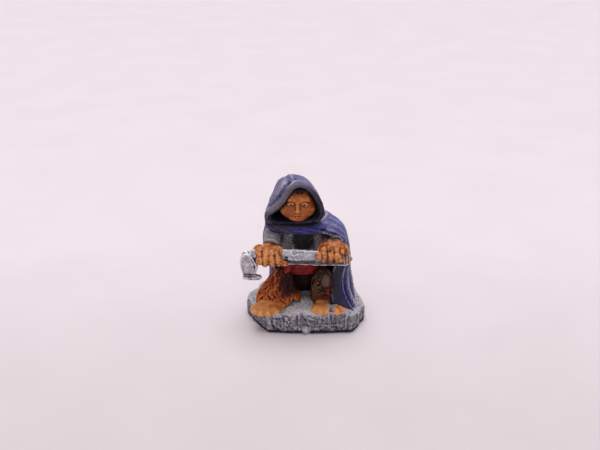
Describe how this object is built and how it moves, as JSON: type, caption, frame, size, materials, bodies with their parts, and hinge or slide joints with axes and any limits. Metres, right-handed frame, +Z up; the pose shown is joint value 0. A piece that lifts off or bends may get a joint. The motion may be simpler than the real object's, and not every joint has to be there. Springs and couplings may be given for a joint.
{
  "type": "painted miniature figure",
  "caption": "Crouching hooded small-folk fighter in a cloak and mail, holding a thick hafted axe level in both fists, on an integral rock slab base.",
  "frame": {"origin": "on the flat underside of the rock base, below the middle of the part's plan", "axes": "+Z up from the table, -Y the way the figure faces, +X towards the figure's left hand"},
  "size_m": [0.0164, 0.0138, 0.0197],
  "materials": {
    "stone": "matt acrylic paint, washed and drybrushed",
    "skin": "matt acrylic paint, washed and drybrushed",
    "fur": "matt acrylic paint, washed and drybrushed",
    "fur_shadow": "matt acrylic paint, washed and drybrushed",
    "dark_brown": "matt acrylic paint, washed and drybrushed",
    "red": "matt acrylic paint, washed and drybrushed",
    "mail": "matt acrylic paint, washed and drybrushed",
    "dark_hair": "matt acrylic paint, washed and drybrushed",
    "blue_cloth": "matt acrylic paint, washed and drybrushed",
    "dark_cloth": "matt acrylic paint, washed and drybrushed",
    "grey_haft": "matt acrylic paint, washed and drybrushed",
    "steel": "matt acrylic paint, washed and drybrushed"
  },
  "bodies": {
    "root": {"rock_base": "stone", "right_foot": "skin", "left_foot": "skin", "right_leg": "fur", "left_leg": "fur_shadow", "breeches": "dark_brown", "waist_sash": "red", "mail_shirt": "mail", "right_sleeve": "mail", "left_sleeve": "mail", "right_forearm": "skin", "left_forearm": "skin", "right_hand": "skin", "left_hand": "skin", "head": "skin", "forelock": "dark_hair", "hood": "blue_cloth", "hood_rim": "dark_cloth", "cowl": "dark_cloth", "cloak": "blue_cloth", "axe_haft": "grey_haft", "axe_head": "steel", "haft_knob": "steel", "haft_tip": "steel"}
  },
  "joints": []
}
